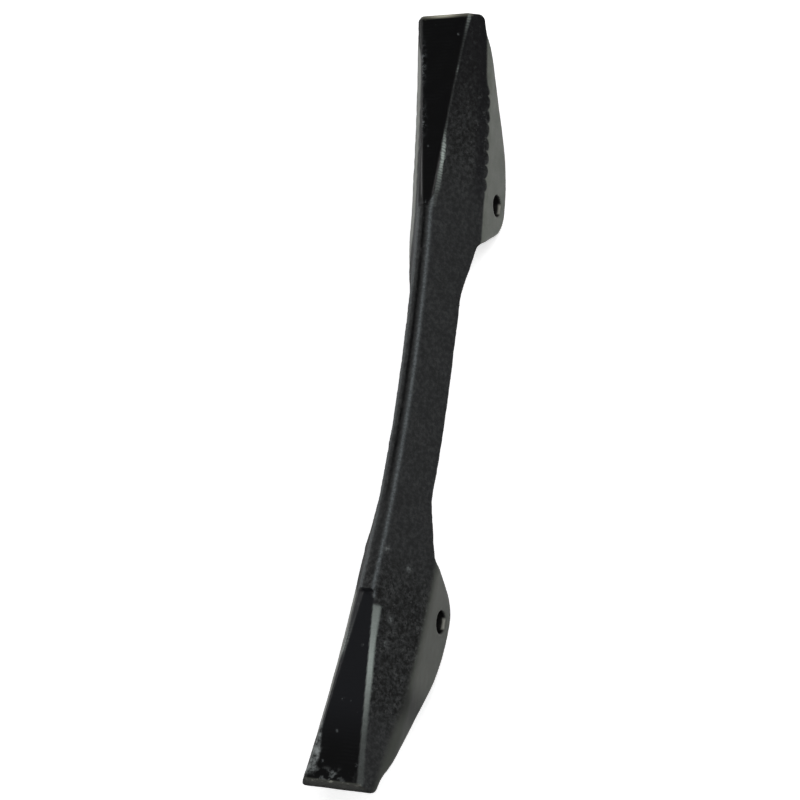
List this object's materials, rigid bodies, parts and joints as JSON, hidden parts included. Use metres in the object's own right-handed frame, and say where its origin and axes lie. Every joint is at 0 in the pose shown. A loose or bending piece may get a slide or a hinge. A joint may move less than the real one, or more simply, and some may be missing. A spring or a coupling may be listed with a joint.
{
  "type": "plough shin",
  "caption": "Reversible forged wear bar for a plough leg: curved prow front, chisel facet at both ends, ears with cross holes that saddle the leg.",
  "frame": {"origin": "middle of the bar on the plane that the four ear noses stand on", "axes": "+Y along the bar, +Z towards the soil side of the crest, +X across the bar"},
  "size_m": [0.051, 0.4798, 0.0796],
  "materials": {
    "painted_forging": "thin satin black paint on a forged and shot-blasted steel skin"
  },
  "bodies": {
    "root": {"shin": "painted_forging"}
  },
  "joints": []
}
